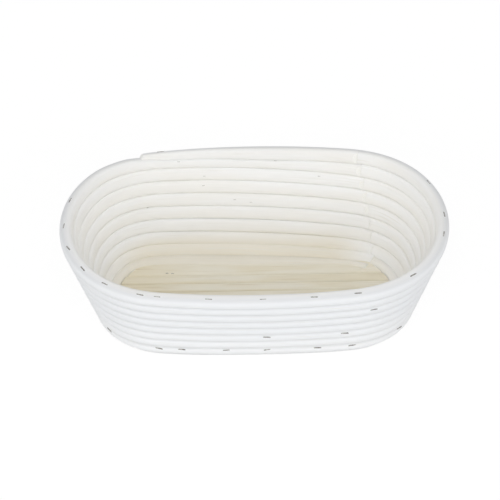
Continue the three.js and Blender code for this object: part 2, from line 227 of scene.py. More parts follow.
@dataclass(frozen=True)
class CaneFinish(Finish):
    """Peeled rattan core, dried matt: fine fibres and pores along its length, with soft changes of tone.

    Attributes:
        pale: Colour of most of the cane.
        warm: Coat of its warmer stretches.
        fibre: Coat of the shaded side of a fibre.
        streak: Coat of the few darker fibres.
        furrow: Values of the fibres' noise at which a furrow between them begins and is full.
        smooth: Roughness of a fibre.
        rough: Roughness of a furrow.
        relief: Depth of a furrow.
        relief_strength: How strongly it catches the light.
        outside: Places across the cane between which its inside turns into its outside.
        painted_cool_light: Painted cool light: a cool white coat over the outside of the wall.
        outer_painted_shade: Painted shade: a greyer coat over the outside, full high up and thinning out
            towards the floor.
        outer_shade_height: Height above which it takes all of that coat.
        groove_painted_shade: Painted shade in the grooves outside.
        groove: Distances up or down from the middle of the cane at which a groove begins and is full.
        low_painted_shade: Painted shade, darker and warmer, low on the inside.
        low_shade_height: Heights at which it begins and is full.
        low_shade_edge: Place across the cane where it begins, outwards from the middle.
        low_shade_width: Distance inwards in which it gets full.
        low_shade_slope: How much further out it begins for each millimetre up the cane.
        low_shade_middle: Place along the basket where it has its middle.
        low_shade_full: Distance from there up to which it has all of its strength.
        low_shade_clear: Distance from there at which it has faded away.
    """

    pale: str
    warm: Coat
    fibre: Coat
    streak: Coat
    fibres: Marks = FIBRES
    furrow: tuple[float, float] = (0.3, 0.7)
    smooth: float = 0.6
    rough: float = 0.85
    relief: float = 0.09
    relief_strength: float = 0.6
    outside: tuple[float, float] = (-2.0, 2.0)
    # Painted cool light on the outside of the wall
    painted_cool_light: Coat = NO_COAT
    # Painted shade high on the outside of the wall, lighter low down
    outer_painted_shade: Coat = NO_COAT
    outer_shade_height: float = 45.0
    # Painted shade in the grooves outside
    groove_painted_shade: Coat = NO_COAT
    groove: tuple[float, float] = (2.9, 4.5)
    # Painted shade, darker and warmer, low on the inside
    low_painted_shade: Coat = NO_COAT
    low_shade_height: tuple[float, float] = (26.0, 5.0)
    low_shade_edge: float = 1.9
    low_shade_width: float = 2.0
    low_shade_slope: float = 0.0
    low_shade_middle: float = -10.0
    low_shade_full: float = 58.0
    low_shade_clear: float = 90.0

    def surface(self, tree: NodeTree) -> Inputs:
        """Draws the cane on its own coordinates, in millimetres across and along it.

        Args:
            tree: Node tree of the material.

        Returns:
            The inputs of the shader.
        """
        space = add_node(tree, "Attribute", {}, attribute_name=CANE_SPACE).outputs["Vector"]
        fibre = self.pattern(tree, space, self.fibres)
        layers = [
            (self.warm, (self.pattern(tree, space, TONES),)),
            # Painted cool light and painted shade
            *self.painted_light_and_shade(tree, space),
            (self.fibre, (fibre,)),
            (self.streak, (self.pattern(tree, space, STREAKS),)),
        ]
        depth, (begins, full) = fibre[0], self.furrow
        furrow = {"From Min": begins, "From Max": full, "To Min": self.smooth, "To Max": self.rough}
        bump = {"Strength": self.relief_strength, "Distance": self.relief * MM, "Height": depth}
        return {
            "Base Color": self.colours(tree, self.pale, layers)[0],
            "Roughness": add_node(tree, "MapRange", {"Value": depth, **furrow}).outputs["Result"],
            "IOR": 1.5,
            "Specular IOR Level": 0.3,
            "Normal": add_node(tree, "Bump", bump, invert=True).outputs["Normal"],
        }

    def pattern(self, tree: NodeTree, space: NodeSocket, marks: Marks) -> Ramp:
        """Draws marks along the cane.

        Args:
            tree: Node tree of the material.
            space: The cane's own coordinates.
            marks: Size of the marks.

        Returns:
            The noise and the values at which a mark begins and is full.
        """
        scale = (1 / marks.width, 1 / marks.width, 1 / marks.length)
        stretched = add_node(tree, "Mapping", {"Vector": space, "Scale": scale}, vector_type="POINT")
        finer = {"Scale": 1.0, "Detail": marks.octaves, "Roughness": marks.raggedness}
        drawn = add_node(tree, "TexNoise", {"Vector": stretched.outputs["Vector"], **finer})
        return drawn.outputs["Fac"], marks.begins, marks.full

    def painted_light_and_shade(self, tree: NodeTree, space: NodeSocket) -> list[Layer]:
        """Paints cool light over the outside of the wall, painted shade on it high up and in its grooves, and
        painted shade low on the inside.

        Args:
            tree: Node tree of the material.
            space: The cane's own coordinates, which are positive outside.

        Returns:
            The coats of painted light and shade that the finish sets.
        """
        across, upwards, _ = add_node(tree, "SeparateXYZ", {"Vector": space}).outputs
        place = add_node(tree, "TexCoord", {}).outputs["Object"]
        along, _, height = add_node(tree, "SeparateXYZ", {"Vector": place}).outputs
        from_middle = add_node(tree, "Math", {0: upwards}, operation="ABSOLUTE").outputs["Value"]
        slanted = {0: upwards, 1: -self.low_shade_slope, 2: across}
        from_inside = add_node(tree, "Math", slanted, operation="MULTIPLY_ADD").outputs["Value"]
        shifted = add_node(tree, "Math", {0: along, 1: self.low_shade_middle * MM}, operation="SUBTRACT")
        away = add_node(tree, "Math", {0: shifted.outputs["Value"]}, operation="ABSOLUTE").outputs["Value"]
        outside = (across, *self.outside)
        # Painted shade: full on the outside above a height, thinning towards the floor
        shaded_high = (height, 0.0, self.outer_shade_height * MM)
        # Painted shade low on the inside, faded along the basket towards the ends
        shaded_low = (
            (from_inside, self.low_shade_edge, self.low_shade_edge - self.low_shade_width),
            (height, *(level * MM for level in self.low_shade_height)),
            (away, self.low_shade_clear * MM, self.low_shade_full * MM),
        )
        # Painted cool light and painted shade, each with the patterns that thin it out
        layers = (
            (self.painted_cool_light, (outside,)),
            (self.outer_painted_shade, (outside, shaded_high)),
            (self.groove_painted_shade, (outside, (from_middle, *self.groove))),
            (self.low_painted_shade, shaded_low),
        )
        return [(coat, ramps) for coat, ramps in layers if coat != NO_COAT]


@dataclass(frozen=True)
class CutCaneFinish(Finish):
    """Sawn end of a cane: paler than its skin, dotted with the open pores of the core."""

    name: str = "sawn_rattan_end"
    ground: str = "#FDFDFA"
    pore: Coat = ("#D8CFB9", 0.6)
    pore_spacing: float = 0.55
    pore_edge: tuple[float, float] = (0.3, 0.1)
    pore_depth: float = 0.1
    pore_strength: float = 0.7
    roughness: float = 0.85

    def surface(self, tree: NodeTree) -> Inputs:
        """Draws the pores on the cane's own coordinates.

        Args:
            tree: Node tree of the material.

        Returns:
            The inputs of the shader.
        """
        space = add_node(tree, "Attribute", {}, attribute_name=CANE_SPACE).outputs["Vector"]
        dots = {"Vector": space, "Scale": 1 / self.pore_spacing, "Randomness": 1.0}
        distance = add_node(tree, "TexVoronoi", dots, feature="F1").outputs["Distance"]
        pores = (self.pore, ((distance, *self.pore_edge),))
        colour, open_pore = self.colours(tree, self.ground, [pores])
        bump = {"Strength": self.pore_strength, "Distance": self.pore_depth * MM, "Height": open_pore}
        return {
            "Base Color": colour,
            "Roughness": self.roughness,
            "IOR": 1.5,
            "Specular IOR Level": 0.2,
            "Normal": add_node(tree, "Bump", bump, invert=True).outputs["Normal"],
        }


@dataclass(frozen=True)
class StapleWireFinish(Finish):
    """Galvanised steel wire, dulled in use: grey with darker patches and a soft glint along the crown."""

    name: str = "galvanised_steel_wire"
    bright: str = "#B4B2AD"
    dull: Coat = ("#77746E", 1.0)
    patch: float = 1.3
    patch_edge: tuple[float, float] = (0.35, 0.62)
    bright_roughness: float = 0.35
    dull_roughness: float = 0.6

    def surface(self, tree: NodeTree) -> Inputs:
        """Draws the patches on object coordinates.

        Args:
            tree: Node tree of the material.

        Returns:
            The inputs of the shader.
        """
        place = add_node(tree, "TexCoord", {}).outputs["Object"]
        cloud = {"Vector": place, "Scale": 1 / (self.patch * MM), "Detail": 3.0, "Roughness": 0.6}
        patches = add_node(tree, "TexNoise", cloud).outputs["Fac"]
        dulled = (self.dull, ((patches, *self.patch_edge),))
        colour, dullness = self.colours(tree, self.bright, [dulled])
        rough = {"Value": dullness, "To Min": self.bright_roughness, "To Max": self.dull_roughness}
        return {
            "Base Color": colour,
            "Roughness": add_node(tree, "MapRange", rough).outputs["Result"],
            "Metallic": 1.0,
        }


# Bleached, so nearly white, with faint cream stretches
BLEACHED_CANE = CaneFinish(
    name="bleached_rattan_cane",
    pale="#FAFAF9",
    warm=("#F9F8F5", 1.0),
    fibre=("#F2F2EE", 0.55),
    streak=("#E3DFD3", 0.3),
    # Painted cool light on the outside
    painted_cool_light=("#F8F9FB", 0.8),
    # Painted shade high on the outside
    outer_painted_shade=("#F0F2F5", 0.7),
    # Painted shade in the grooves outside
    groove_painted_shade=("#D4D5D6", 0.45),
    # Painted shade low on the inside
    low_painted_shade=("#EFE7D3", 0.8),
)

# The same cane, with painted shade all over its upper side
FOOT_CANE = replace(
    BLEACHED_CANE,
    name="low_shaded_rattan_cane",
    low_painted_shade=("#EFE7D3", 0.72),
    low_shade_edge=3.5,
    low_shade_slope=1.0,
    low_shade_clear=129.0,
)

# Less bleached, so tan, with plainer fibres, and a yellower painted shade towards the left end
FLOOR_CANE = CaneFinish(
    name="natural_rattan_cane",
    pale="#F3EEDF",
    warm=("#EDE5CF", 1.0),
    fibre=("#E0D5B9", 0.55),
    streak=("#C9B896", 0.45),
    fibres=replace(FIBRES, width=0.7),
    # Painted shade, yellower, towards the left end of the floor
    low_painted_shade=("#E8DCBD", 0.45),
    low_shade_edge=20.0,
    low_shade_middle=-120.0,
    low_shade_full=40.0,
)


@dataclass(frozen=True)
class OvalPlan:
    """Line of the rim in plan: four tangent arcs, a little fuller at the corners.

    Each course is a parallel of it, with straighter sides and, low down, a back that is tucked in.
    """

    end_radius: float = 68.975
    end_centre: float = 51.8
    side_bow: float = 3.3
    straightening: float = 1.6
    straightened_share: float = 1.35
    back_tuck: float = 2.9
    corner_fullness: float = 1.15
    foot_corner_gain: float = 0.7
    foot_inset: float = 26.353

    @property
    def side_centre(self) -> float:
        """Distance from the middle to the centre of a long side's arc."""
        return (self.end_centre**2 - self.side_bow**2) / (2 * self.side_bow)

    @property
    def side_extra(self) -> float:
        """How much larger a long side's radius is than an end's."""
        return self.side_centre + self.side_bow

    @property
    def side_angle(self) -> float:
        """Half the angle of a long side's arc."""
        return asin(self.end_centre / self.side_extra)

    @property
    def side_length(self) -> float:
        """Half the length of a long side's arc."""
        return self.side_angle * (self.end_radius + self.side_extra)

    @property
    def half_turn(self) -> float:
        """Length of half the line."""
        return 2 * (self.side_length + (pi / 2 - self.side_angle) * self.end_radius)

    def outward(self, bearing: float) -> Vector:
        """Level direction out of the wall at a bearing."""
        return Vector((sin(bearing), cos(bearing), 0))

    def clockwise(self, bearing: float) -> Vector:
        """Level direction along the wall at a bearing."""
        return Vector((cos(bearing), -sin(bearing), 0))

    def point(self, bearing: float, inset: float) -> Vector:
        """Finds the point of a parallel line.

        Args:
            bearing: Bearing of the point.
            inset: Distance of the parallel inside the rim's line.

        Returns:
            The point, at height zero.
        """
        direction = self.outward(bearing)
        share = inset / self.foot_inset
        corner = self.corner_fullness * (1 + self.foot_corner_gain * share) * sin(2 * bearing) ** 2
        radius = self.end_radius - inset + corner
        if abs(direction.y) >= cos(self.side_angle):
            centre = BACK * -copysign(self.side_centre, direction.y)
            place = centre + direction * (radius + self.side_extra)
        else:
            centre = RIGHT * copysign(self.end_centre, direction.x)
            place = centre + direction * radius
        from_middle = clamp(place.x / (self.straightened_share * self.end_centre), -1, 1)
        straightened = self.straightening * share * (1 - from_middle**2) ** 2
        tucked = self.back_tuck * clamp(share) ** 4 * ((1 + direction.y) / 2) ** 2
        return place - BACK * (copysign(straightened, place.y) + tucked)

    def distance(self, bearing: float) -> float:
        """Measures along the rim's line.

        Args:
            bearing: Bearing at which the measured stretch ends.

        Returns:
            Length of the line from the middle of the back.
        """
        half_turns = round(bearing / pi)
        rest = bearing - half_turns * pi
        side = min(abs(rest), self.side_angle) * (self.end_radius + self.side_extra)
        end = max(0.0, abs(rest) - self.side_angle) * self.end_radius
        return half_turns * self.half_turn + copysign(side + end, rest)

    def bearing(self, distance: float) -> float:
        """Finds a place on the rim's line.

        Args:
            distance: Length of the line from the middle of the back.

        Returns:
            Bearing at which that length ends.
        """
        half_turns = round(distance / self.half_turn)
        rest = distance - half_turns * self.half_turn
        on_side = min(abs(rest), self.side_length) / (self.end_radius + self.side_extra)
        on_end = max(0.0, abs(rest) - self.side_length) / self.end_radius
        return half_turns * pi + copysign(on_side + on_end, rest)


@dataclass(frozen=True)
class WallProfile:
    """Profile of the wall by level: 0 is the rim, and each course down adds 1."""

    pitch: float = 8.9
    leans: tuple[float, ...] = (19.0,) * 7 + (43.0,)
    foot_height: float = 3.375

    def along(self, level: float, share: Callable[[float], float]) -> float:
        """Adds up a share of the steps down to a level.

        Args:
            level: The level.
            share: Sine for the way in, cosine for the way down.

        Returns:
            The sum.
        """
        if level <= 0:
            return level * self.pitch * share(radians(self.leans[0]))
        steps = enumerate(self.leans)
        return self.pitch * sum(clamp(level - step) * share(radians(lean)) for step, lean in steps)

    def inset(self, level: float) -> float:
        """Distance of a level inside the rim's line."""
        return self.along(level, sin)

    def height(self, level: float) -> float:
        """Height of a level over the floor."""
        return self.foot_height + self.along(len(self.leans), cos) - self.along(level, cos)

    def lean(self, level: float) -> float:
        """Finds the lean of the wall, eased from step to step.

        Args:
            level: The level.

        Returns:
            Angle from upright.
        """
        last = len(self.leans) - 1
        place = clamp(level - 0.5, 0, last)
        step = min(int(place), last - 1)
        return radians(lerp(self.leans[step], self.leans[step + 1], place - step))


@dataclass(frozen=True)
class Section:
    """Section of a cane at one place of its line.

    Attributes:
        centre: Point on the line.
        out: Direction across the cane, out of the wall.
        up: Direction across the cane, up the wall.
        half_width: Half size along out.
        half_up: Size from the centre along up.
        half_down: Size from the centre against up.
        fullness: Power of the outline outside: 2 is an ellipse, more fills its corners.
        inner_fullness: Power of the outline inside.
    """

    centre: Vector
    out: Vector
    up: Vector
    half_width: float
    half_up: float
    half_down: float
    fullness: float
    inner_fullness: float

    def point(self, angle: float, swell: float) -> Vector:
        """Finds a point of the outline.

        Args:
            angle: Angle round the section, from out towards up.
            swell: Factor on the sizes.

        Returns:
            The point.
        """
        power = 2 / (self.fullness if cos(angle) > 0 else self.inner_fullness)
        across = copysign(abs(cos(angle)) ** power, cos(angle))
        rise = copysign(abs(sin(angle)) ** power, sin(angle))
        half_rise = self.half_up if rise > 0 else self.half_down
        sideways = self.out * (across * self.half_width * swell)
        return self.centre + sideways + self.up * (rise * half_rise * swell)

    def surface(self, direction: Vector) -> Vector:
        """Finds the point of the outline in a direction from the centre.

        Args:
            direction: Unit vector across the cane.

        Returns:
            The point.
        """
        across = direction.dot(self.out)
        rise = direction.dot(self.up)
        fullness = self.fullness if across > 0 else self.inner_fullness
        half_rise = self.half_up if rise > 0 else self.half_down
        size = abs(across / self.half_width) ** fullness + abs(rise / half_rise) ** fullness
        return self.centre + direction * size ** (-1 / fullness)


@dataclass(frozen=True)
class CaneMaker:
    """Rolls flat grids up into canes and lays them along their lines.

    Attributes:
        skin: Finish of the outside.
        sawn: Finish of the ends.
        sides: Faces round a cane.
        step: Length of a face along a cane.
        end_round: Width of the worn edge of a sawn end.
        pared_angle: Half the angle round a cane over which an end is pared off inside.
        swell: Largest change of the thickness, as a share.
        ridge: Height of the few ridges along a cane, as a share of its thickness.
        ridge_count: Factor on the number of ridges round a cane.
        wander: How far a line strays from its place.
        out_offset: Place in the noise of straying outwards.
        up_offset: Place in the noise of straying upwards.
        own_offset: How far apart the noises of two canes lie.
        grain_offset: Factor on that for the grain.
        lowest: Height at which a cane is flat underneath.
    """

    skin: Material
    sawn: Material
    sides: int = 24
    step: float = 2.6
    end_round: float = 0.22
    pared_angle: float = radians(45)
    swell: float = 0.012
    swell_length: float = 38.0
    ridge: float = 0.008
    ridge_length: float = 140.0
    ridge_count: float = 1.7
    wander: float = 0.14
    wander_length: float = 55.0
    out_offset: float = 5.3
    up_offset: float = 9.1
    own_offset: float = 61.7
    grain_offset: float = 13.0
    lowest: float = 0.0

    def make(self, name: str, ends: Ends, section: Callable[[float], Section], seed: int) -> Object:
        """Makes one cane.

        Args:
            name: Name of the piece.
            ends: First and last distance of its lengthwise lines.
            section: Section of the cane at a distance along it.
            seed: Number that sets this cane's own unevenness.

        Returns:
            The piece, in metres.
        """
        bm = bmesh.new()
        space = bm.verts.layers.float_vector.new(CANE_SPACE)
        first, last = ends(0.0)
        stations = max(2, round((last - first) / self.step))
        bmesh.ops.create_grid(bm, x_segments=stations, y_segments=self.sides, size=0.5)
        for vert in bm.verts:
            angle = TURN * (vert.co.y + 0.5)
            start, end = ends(angle)
            distance = lerp(start, end, vert.co.x + 0.5)
            self.lay(vert, space, section(distance), angle, distance, seed)
        bmesh.ops.remove_doubles(bm, verts=bm.verts, dist=MERGE_DISTANCE)
        self.close_ends(bm, space)
        for vert in bm.verts:
            vert.co.z = max(vert.co.z, self.lowest)
        bmesh.ops.recalc_face_normals(bm, faces=bm.faces)
        bmesh.ops.scale(bm, vec=(MM, MM, MM), verts=bm.verts)
        return finished_piece(name, bm, [self.skin, self.sawn])

    def lay(
        self, vert: BMVert, space: BMLayerItem, section: Section, angle: float, distance: float, seed: int
    ) -> None:
        """Moves a vertex of the grid to its place on the cane.

        Args:
            vert: The vertex.
            space: Layer of the cane's own coordinates.
            section: Section at the vertex.
            angle: Angle of the vertex round the section.
            distance: Distance of the vertex along the cane.
            seed: Number of the cane.
        """
        round_it = Vector((cos(angle), sin(angle), 0))
        own = UP * (self.own_offset * seed)
        swell = 1 + self.swell * noise.noise(own + UP * (distance / self.swell_length))
        ridges = own + round_it * self.ridge_count + UP * (distance / self.ridge_length)
        swell += self.ridge * noise.noise(ridges)
        stray = own + UP * (distance / self.wander_length)
        place = section.point(angle, swell)
        place += section.out * (self.wander * noise.noise(stray + RIGHT * self.out_offset))
        place += section.up * (self.wander * noise.noise(stray + BACK * self.up_offset))
        vert.co = place
        across = Vector((section.half_width * round_it.x, section.half_up * round_it.y, distance))
        vert[space] = across + own * self.grain_offset

    def close_ends(self, bm: BMesh, space: BMLayerItem) -> None:
        """Fills the ends of a cane with sawn faces, apart from the pared ones, and wears their edges.

        Args:
            bm: Mesh of the cane.
            space: Layer of the cane's own coordinates.
        """
        rims = [edge for edge in bm.edges if edge.is_boundary]
        caps = list(bmesh.ops.edgeloop_fill(bm, edges=rims)["faces"])
        for cap in caps:
            cap.material_index = 1
        for cap in caps[:]:
            fold = [self.fold_vert(cap, space, side) for side in (1, -1)]
            caps.append(bmesh.utils.face_split(cap, *fold)[0])
        bmesh.ops.bevel(
            bm,
            geom=list(dict.fromkeys(edge for cap in caps for edge in cap.edges)),
            offset=self.end_round,
            affect="EDGES",
            segments=2,
            profile=0.5,
            material=-1,
        )

    def fold_vert(self, cap: BMFace, space: BMLayerItem, side: int) -> BMVert:
        """Finds the vertex of an end where its pared part begins.

        Args:
            cap: Face of the end.
            space: Layer of the cane's own coordinates.
            side: 1 for the upper vertex, -1 for the lower one.

        Returns:
            The vertex.
        """
        return min(
            cap.verts,
            key=lambda vert: abs(atan2(side * vert[space].y, -vert[space].x) - self.pared_angle),
        )


def finished_piece(name: str, bm: BMesh, finishes: list[Material]) -> Object:
    """Turns a bmesh into a smooth piece with its finishes.

    Args:
        name: Name of the piece.
        bm: The mesh, which is freed.
        finishes: Materials in the order of the faces' indices.

    Returns:
        The piece, linked to the scene.
    """
    mesh = bpy.data.meshes.new(name)
    bm.to_mesh(mesh)
    bm.free()
    mesh.polygons.foreach_set("use_smooth", [True] * len(mesh.polygons))
    mesh.set_sharp_from_angle(angle=SHARP_ANGLE)
    for finish in finishes:
        mesh.materials.append(finish)
    piece = bpy.data.objects.new(name, mesh)
    bpy.context.scene.collection.objects.link(piece)
    return piece


def enter(piece: Object, slot: Slot, *nodes: str) -> None:
    """Ties a piece to the part and reports it.

    Args:
        piece: The piece.
        slot: Material slot meant for its finish; not used.
        nodes: Solids that it stands for.
    """
    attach(piece, BODY)
    if nodes:
        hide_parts(*nodes)
    LOG.info("%s: %d faces for %s", piece.name, len(piece.data.polygons), ", ".join(nodes) or "no solid")


@dataclass(frozen=True)
class WallCoil:
    """The coil: eight lengths of cane from the rim down, the foot, and the tapered end that lies on the rim.

    Attributes:
        radius: Half the cane's thickness.
        pressed: The same up and down the wall, where the courses press on each other.
        climb_length: Stretch of the back in which each course drops by one.
        high_cut: How far the inside of the ends of the highest courses is pared back.
        low_cut: The same for the other courses.
        tail_seat: Depth shaved off the rim under the tapered end.
        foot_drift: How far the foot's end moves in to lie inside the course that comes down.
        foot_inner: Distance from the foot's line to its inner side.
        foot_filling: How much wider the foot is halfway along that stretch.
        low_filling: How much higher the course that comes down to the floor gets.
        back_filling: How much wider the foot is along the back, under the wall.
        foot_top: Height of the foot over its line.
    """

    maker: CaneMaker
    foot_maker: CaneMaker
    plan: OvalPlan = OvalPlan()
    profile: WallProfile = WallProfile()
    radius: float = 4.28
    pressed: float = 4.66
    fullness: float = 2.0
    inner_fullness: float = 3.3
    climb_length: float = 172.0
    seam_bearing: float = radians(14.5)
    seam_drift: float = radians(2.7)
    seam_gap: float = 0.08
    high_cut: float = 3.2
    low_cut: float = 0.4
    high_courses: int = 4
    tail_length: float = 143.6
    tail_full_length: float = 60.0
    tail_seat: float = 2.7
    tail_run_in: float = 15.0
    tail_run_out: float = 8.0
    tail_tip_width: float = 5.2
    tail_tip_rise: float = 0.2
    tail_tip_slant: float = 2.6
    tail_seed: int = 21
    foot_drift: float = 6.0
    foot_drift_share: float = 0.5
    foot_tip_width: float = 6.0
    foot_inner: float = 4.225
    foot_filling: float = 3.4
    low_filling: float = 1.8
    back_filling: float = 2.2
    foot_top: float = 5.3
    foot_seed: int = 20

    @property
    def foot_level(self) -> int:
        """Level of the foot."""
        return len(self.profile.leans)

    def to_seam(self, bearing: float) -> float:
        """Length along the rim from a bearing on to the seam."""
        return self.plan.distance(TURN + self.seam_bearing) - self.plan.distance(bearing)

    def climb(self, bearing: float) -> float:
        """Share of a course that the coil has dropped at a bearing."""
        return clamp(1 - self.to_seam(bearing) / self.climb_length)

    def seam(self, course: int) -> float:
        """Bearing at which a course starts."""
        return self.seam_bearing + course * self.seam_drift

    def section_at(self, bearing: float, level: float, *sizes: float) -> Section:
        """Places a section in the wall.

        Args:
            bearing: Bearing of the section.
            level: Level of its centre.
            sizes: Half its width, then its sizes up and down the wall.

        Returns:
            The section.
        """
        lean = self.profile.lean(level)
        outward = self.plan.outward(bearing)
        centre = self.plan.point(bearing, self.profile.inset(level)) + UP * self.profile.height(level)
        out = outward * cos(lean) - UP * sin(lean)
        up = outward * sin(lean) + UP * cos(lean)
        return Section(centre, out, up, *sizes, self.fullness, self.inner_fullness)

    def tail_seat_depth(self, bearing: float) -> float:
        """Finds the depth shaved off the rim under the tapered end.

        Args:
            bearing: Bearing of the place.

        Returns:
            The depth.
        """
        distance = self.to_seam(bearing)
        from_tip = (self.tail_length + self.tail_run_out - distance) / (self.tail_run_in + self.tail_run_out)
        return self.tail_seat * min(clamp(distance / self.tail_full_length), clamp(from_tip))

    def course_section(self, course: int, bearing: float) -> Section:
        """Places the section of a course of the wall.

        Args:
            course: The course, 0 for the rim.
            bearing: Bearing of the section.

        Returns:
            The section.
        """
        level = course + self.climb(bearing)
        filled = self.pressed + self.low_filling * clamp(level - self.foot_level + 1)
        half_up = filled if course else self.radius - self.tail_seat_depth(bearing)
        return self.section_at(bearing, level, self.radius, half_up, self.pressed)

    def tail_section(self, bearing: float) -> Section:
        """Places the section of the tapered end.

        Args:
            bearing: Bearing of the section.

        Returns:
            The section.
        """
        tapering = self.tail_length - self.tail_full_length
        taper = clamp((self.to_seam(bearing) - self.tail_full_length) / tapering)
        top = self.radius + self.tail_tip_rise * taper
        joint = self.radius - self.tail_seat_depth(bearing) - self.climb(bearing) * self.profile.pitch
        bottom = joint - (self.pressed - self.radius)
        half_height = (top - bottom) / 2
        half_width = lerp(self.radius, self.tail_tip_width / 2, taper)
        level = -(top + bottom) / 2 / self.profile.pitch
        return self.section_at(bearing, level, half_width, half_height, half_height)

    def foot_inset(self, bearing: float) -> float:
        """Inset of the foot's inner side at a bearing."""
        drift = self.foot_drift * clamp(self.climb(bearing) / self.foot_drift_share)
        return self.profile.inset(self.foot_level) + self.foot_inner + drift

    def foot_section(self, bearing: float) -> Section:
        """Places the section of the foot.

        Args:
            bearing: Bearing of the section.

        Returns:
            The section.
        """
        climb = self.climb(bearing)
        outward = self.plan.outward(bearing)
        behind = ((1 + outward.y) / 2) ** 2
        filling = (self.foot_filling * 4 * climb + self.back_filling * behind) * (1 - climb)
        half_width = (lerp(2 * self.radius, self.foot_tip_width, climb) + filling) / 2
        centre = self.plan.point(bearing, self.foot_inset(bearing) - half_width) + UP * self.profile.foot_height
        sizes = (half_width, self.foot_top, self.radius)
        return Section(centre, outward, UP, *sizes, self.fullness, self.inner_fullness)

    def span(self, first: float, last: float, cut: float, tip_slant: float = 0.0) -> Ends:
        """Gives the ends of a cane's lengthwise lines, whose last end is pared off on the inside.

        Args:
            first: Bearing of the start.
            last: Bearing of the end.
            cut: How far the inside is pared back.
            tip_slant: How far the top of the start is cut back.

        Returns:
            A function from an angle round the cane to the first and last distance of its line.
        """
        start = self.plan.distance(first) + self.seam_gap / 2
        end = self.plan.distance(last) - self.seam_gap / 2
        square = cos(self.maker.pared_angle)

        def ends(angle: float) -> tuple[float, float]:
            """First and last distance at an angle round the cane."""
            pared = clamp((-cos(angle) - square) / (1 - square))
            return start + tip_slant * (1 + sin(angle)) / 2, end - cut * pared

        return ends

    def build(self) -> None:
        """Makes every cane of the coil."""
        for course in range(self.foot_level):
            node = f"wall_cane_{course}" if course else "rim_cane"
            cut = self.high_cut if course < self.high_courses else self.low_cut
            ends = self.span(self.seam(course), TURN + self.seam(course + 1), cut)
            self.wind(self.maker, node, ends, partial(self.course_section, course), course + 1)
        start = self.seam(self.foot_level)
        ends = self.span(start, TURN + start, 0.0)
        self.wind(self.foot_maker, "foot_cane", ends, self.foot_section, self.foot_seed)
        seam = TURN + self.seam_bearing
        tip = self.plan.bearing(self.plan.distance(seam) - self.tail_length)
        ends = self.span(tip, seam, self.high_cut, self.tail_tip_slant)
        self.wind(self.maker, "rim_tail", ends, self.tail_section, self.tail_seed)

    def wind(
        self, maker: CaneMaker, node: str, ends: Ends, section: Callable[[float], Section], seed: int
    ) -> None:
        """Makes one cane of the coil.

        Args:
            maker: Maker of the cane.
            node: Solid that it stands for.
            ends: First and last distance of its lengthwise lines.
            section: Its section at a bearing.
            seed: Number that sets its own unevenness.
        """
        piece = maker.make(f"coiled_{node}", ends, lambda distance: section(self.plan.bearing(distance)), seed)
        enter(piece, Slot.WALL_CANE, node)


@dataclass(frozen=True)
class FloorCanes:
    """Straight canes side by side, cut to the inside of the foot and flat underneath.

    Attributes:
        front: Place of the floor's front edge.
        back: Place of its back edge.
        joint: Gap between two canes.
        height: Height of their tops.
        axis_height: Height of their middles.
        fullness: Power of their outline.
        under_foot: How far the first and the last one go in under the foot.
        edge: Distance from the floor's edge past which a cane's reach no longer shrinks.
        end_gap: Gap to the foot at their ends.
        halvings: Steps in which the reach of a cane is found.
        first_seed: Number before that of the first cane.
    """

    maker: CaneMaker
    coil: WallCoil
    canes: int = 9
    front: float = -39.4
    back: float = 30.12
    joint: float = 0.04
    height: float = 7.05
    axis_height: float = 3.1
    fullness: float = 4.2
    under_foot: float = 5.0
    edge: float = 2.0
    end_gap: float = 0.25
    halvings: int = 40
    first_seed: int = 30

    @property
    def pitch(self) -> float:
        """Distance between the middles of neighbouring canes."""
        return (self.back - self.front) / self.canes

    def middle(self, index: int) -> float:
        """Place of a cane's middle across the floor, counted from 1 at the front."""
        return self.front + (index - 0.5) * self.pitch

    def reach(self, across: float, end: int) -> float:
        """Finds how far the floor goes to the foot's inner side.

        Args:
            across: Place across the floor.
            end: 1 for the right end, -1 for the left.

        Returns:
            Distance from the middle, along the length.
        """
        back, front = (0.0, pi) if end > 0 else (TURN, pi)
        for _ in range(self.halvings):
            bearing = (back + front) / 2
            point = self.coil.plan.point(bearing, self.coil.foot_inset(bearing))
            if point.y > across:
                back = bearing
            else:
                front = bearing
        return abs(point.x) - self.end_gap

    def section(self, index: int) -> Section:
        """Places the section of a floor cane in the middle of its length.

        Args:
            index: Number of the cane.

        Returns:
            The section.
        """
        under = {1: -self.under_foot, self.canes: self.under_foot}.get(index, 0.0)
        centre = Vector((0, self.middle(index) + under / 2, self.axis_height))
        half_width = (self.pitch - self.joint + abs(under)) / 2
        half_up = self.height - self.axis_height
        return Section(centre, BACK, UP, half_width, half_up, half_up, self.fullness, self.fullness)

    def build(self) -> None:
        """Makes the floor canes."""
        reach = cache(self.reach)
        for index in range(1, self.canes + 1):
            section = self.section(index)

            def ends(angle: float) -> tuple[float, float]:
                """First and last distance of the line at an angle round the cane."""
                across = clamp(section.point(angle, 1.0).y, self.front + self.edge, self.back - self.edge)
                return -reach(across, -1), reach(across, 1)

            def along(distance: float) -> Section:
                """Section at a distance along the cane."""
                return replace(section, centre=section.centre + RIGHT * distance)

            piece = self.maker.make(f"straight_base_cane_{index}", ends, along, self.first_seed + index)
            enter(piece, Slot.FLOOR_CANE, f"base_cane_{index}")


